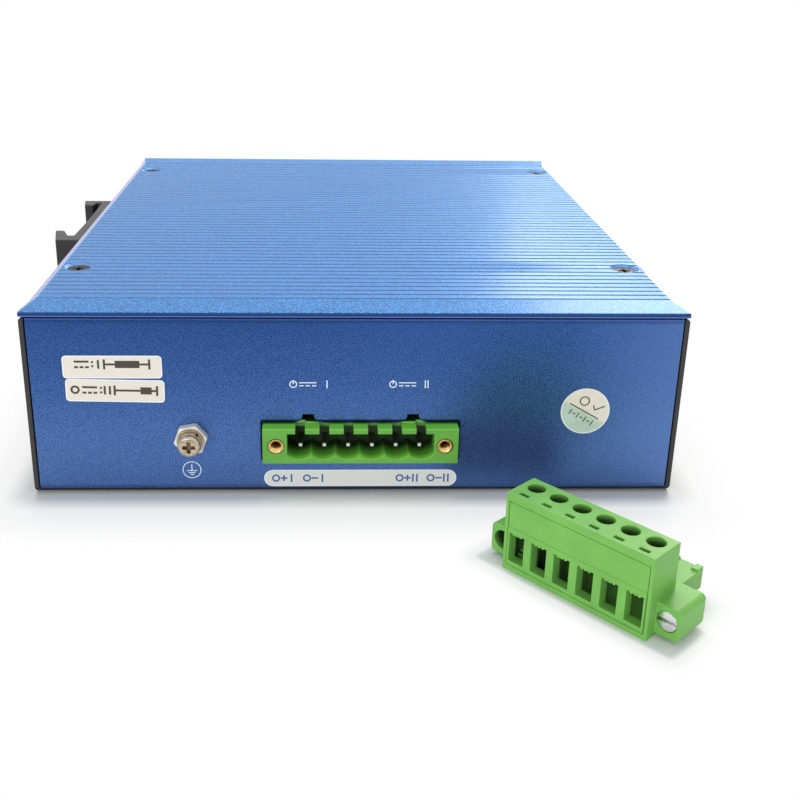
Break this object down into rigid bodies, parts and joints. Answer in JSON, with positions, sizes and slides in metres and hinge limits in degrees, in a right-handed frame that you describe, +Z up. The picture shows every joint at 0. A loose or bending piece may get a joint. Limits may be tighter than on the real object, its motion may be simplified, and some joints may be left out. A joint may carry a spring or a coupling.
{
  "type": "power over ethernet switch",
  "caption": "Flat rail-mount network switch in a blue ribbed metal case, with a green power connector, its unplugged screw-terminal plug, an earth screw, ports and a black rail clip.",
  "frame": {"origin": "middle of the casing's underside, on the surface that it lies on", "axes": "+X to the port side, +Y from the power end to the far end, +Z up through the ribbed cover"},
  "size_m": [0.1496, 0.2137, 0.0413],
  "materials": {
    "blue_anodised": "sand-blasted blue anodised aluminium",
    "dark_plate": "matt black powder coat",
    "zinc_screw": "zinc-plated steel",
    "nickel_screw": "bright nickel plate",
    "dark_screw": "black zinc-plated steel",
    "green_plastic": "moulded green polyamide",
    "light_green_plastic": "moulded light green polyamide",
    "tinned_pin": "tin-plated brass",
    "brass_insert": "knurled brass",
    "circuit_board": "green solder mask on glass laminate",
    "black_plastic": "moulded black plastic",
    "jack_metal": "nickel-plated sheet",
    "gold_contact": "gold-plated wire",
    "lamp_lens": "diffuse lens",
    "bare_aluminium": "bare aluminium",
    "ferrite": "ferrite",
    "copper_winding": "enamelled copper wire",
    "label_film": "printed label film",
    "printed_ink": "screen-printed ink"
  },
  "bodies": {
    "root": {"base_tray": "blue_anodised", "ribbed_cover": "blue_anodised", "front_plate": "dark_plate", "rear_plate": "dark_plate", "cover_blocks": "bare_aluminium", "base_blocks": "bare_aluminium", "cover_screws": "dark_screw", "base_screws": "dark_screw", "board_standoffs": "zinc_screw", "board_screws": "zinc_screw", "main_board": "circuit_board", "power_header": "green_plastic", "header_pins": "tinned_pin", "header_inserts": "brass_insert", "earth_nut": "zinc_screw", "earth_washer": "zinc_screw", "earth_spring_washer": "zinc_screw", "earth_screw": "nickel_screw", "jack_contacts": "gold_contact", "fibre_cage": "jack_metal", "fibre_sockets": "black_plastic", "lamp_block": "black_plastic", "lamps": "lamp_lens", "switch_chip": "black_plastic", "chip_heatsink": "bare_aluminium", "power_controllers": "black_plastic", "capacitors": "bare_aluminium", "power_coils": "ferrite", "transformer_core": "ferrite", "transformer_winding": "copper_winding", "rail_clip": "black_plastic", "clip_screws": "dark_screw", "plug_housing": "light_green_plastic", "plug_wire_face": "light_green_plastic", "plug_clamps": "tinned_pin", "plug_clamp_screws": "zinc_screw", "plug_contacts": "tinned_pin", "plug_flange_screws": "zinc_screw", "jack_shield_1": "jack_metal", "jack_body_1": "black_plastic", "jack_shield_2": "jack_metal", "jack_body_2": "black_plastic", "jack_shield_3": "jack_metal", "jack_body_3": "black_plastic", "jack_shield_4": "jack_metal", "jack_body_4": "black_plastic"}
  },
  "joints": []
}
